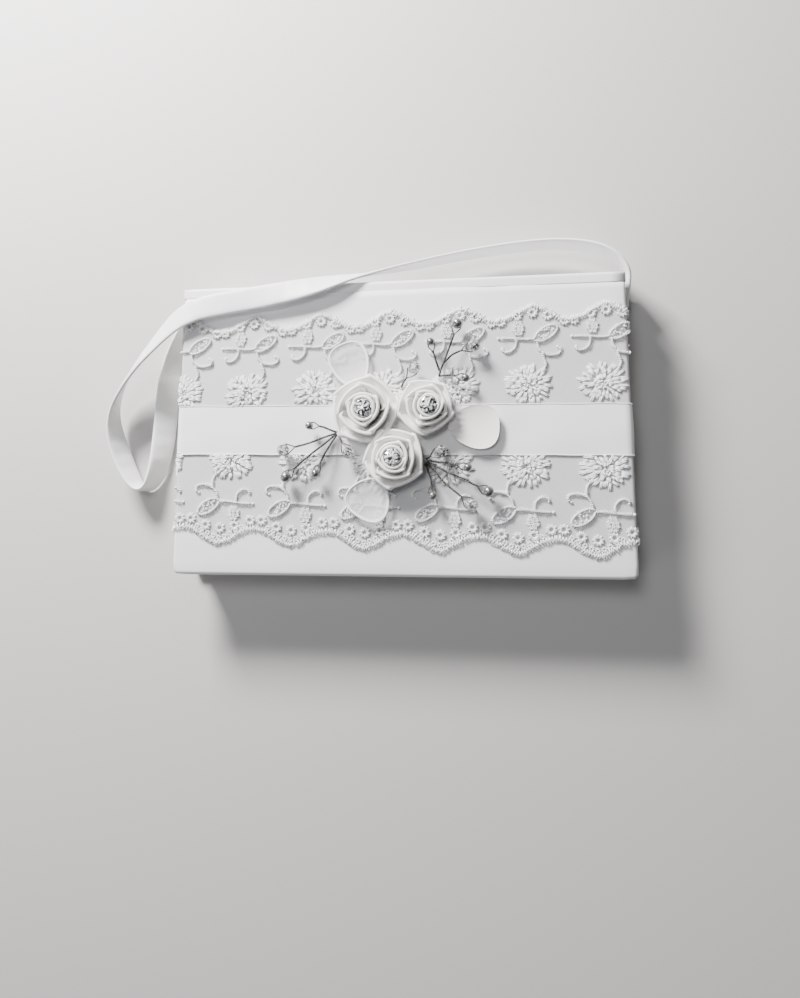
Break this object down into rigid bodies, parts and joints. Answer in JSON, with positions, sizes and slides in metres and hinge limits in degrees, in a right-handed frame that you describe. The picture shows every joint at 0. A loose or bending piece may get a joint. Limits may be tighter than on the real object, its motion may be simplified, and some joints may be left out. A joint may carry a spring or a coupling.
{
  "type": "prayer book",
  "caption": "Satin-covered prayer book with padded hinged covers, sewn leaves, lace and ribbon trim, a rose corsage with beaded wires, and a carrying strap.",
  "frame": {"origin": "centre of the back cover's outer face, on the surface that the closed book lies on", "axes": "+X along the spine towards the head of the book, +Y from the fore edge towards the spine, +Z out of the front cover"},
  "size_m": [0.2272, 0.1385, 0.0352],
  "materials": {
    "cover_satin": "white bridal satin with a soft sheen",
    "ribbon_satin": "warm white double-faced satin ribbon",
    "lace_thread": "white machine-embroidered lace on fine net",
    "organza": "sheer white organza ribbon",
    "wadding": "soft white wadding",
    "binders_board": "grey pressed board",
    "endpaper": "smooth cream endpaper",
    "book_paper": "thin cream book paper",
    "mull": "open-weave lining cloth",
    "headband_silk": "cream and gold sewn band",
    "marker_ribbon": "narrow cream-gold ribbon",
    "felt": "white felt",
    "pearl": "pearl lacquer on round beads",
    "crystal": "clear cut crystal",
    "rhinestone": "foil-backed clear rhinestone",
    "silver_wire": "fine twisted silver wire"
  },
  "bodies": {
    "back_cover": {"back_cover_satin": "cover_satin", "back_cover_padding": "wadding", "back_cover_board": "binders_board", "back_pastedown": "endpaper", "lower_flyleaf": "endpaper", "signature_1": "book_paper", "signature_2": "book_paper", "signature_3": "book_paper", "lower_spine_lining": "mull", "lower_headband": "headband_silk", "lower_tailband": "headband_silk", "ribbon_marker": "marker_ribbon", "carrying_strap": "ribbon_satin", "strap_tab_head": "ribbon_satin", "strap_tab_tail": "ribbon_satin"},
    "upper_leaves": {"signature_4": "book_paper", "signature_5": "book_paper", "signature_6": "book_paper", "upper_flyleaf": "endpaper", "upper_spine_lining": "mull", "upper_headband": "headband_silk", "upper_tailband": "headband_silk"},
    "spine": {"spine_board": "binders_board", "spine_padding": "wadding", "spine_satin": "cover_satin", "front_joint_cloth": "cover_satin", "back_joint_cloth": "cover_satin"},
    "front_cover": {"front_cover_board": "binders_board", "front_cover_padding": "wadding", "front_cover_satin": "cover_satin", "front_pastedown": "endpaper", "upper_lace": "lace_thread", "lower_lace": "lace_thread", "satin_band": "ribbon_satin", "corsage_base": "felt", "rose_1": "ribbon_satin", "rose_2": "ribbon_satin", "rose_3": "ribbon_satin", "rhinestones": "rhinestone", "rhinestone_cups": "silver_wire", "satin_loop_right": "ribbon_satin", "organza_loop_upper": "organza", "organza_loop_lower": "organza", "wire_spray_upper_right": "silver_wire", "wire_spray_left": "silver_wire", "wire_spray_lower_right": "silver_wire", "pearls_large": "pearl", "pearls_small": "pearl", "crystal_beads": "crystal"}
  },
  "joints": [
    {"name": "spine_hinge", "type": "hinge", "parent": "back_cover", "child": "spine", "pos_m": [0, 0.0585, 0.0015], "axis": [-1, 0, 0], "range_deg": [0, 82], "deforming": ["back_joint_cloth"]},
    {"name": "front_cover_hinge", "type": "hinge", "parent": "spine", "child": "front_cover", "pos_m": [0, 0.0585, 0.0215], "axis": [-1, 0, 0], "range_deg": [0, 82], "deforming": ["front_joint_cloth", "carrying_strap"]},
    {"name": "upper_leaves_hinge", "type": "hinge", "parent": "back_cover", "child": "upper_leaves", "pos_m": [0, 0.0565, 0.0114], "axis": [-1, 0, 0], "range_deg": [0, 156]}
  ],
  "couplings": [
    {"joint": "spine_hinge", "follows": "front_cover_hinge", "ratio": 1},
    {"joint": "upper_leaves_hinge", "follows": "front_cover_hinge", "ratio": 1.9}
  ]
}
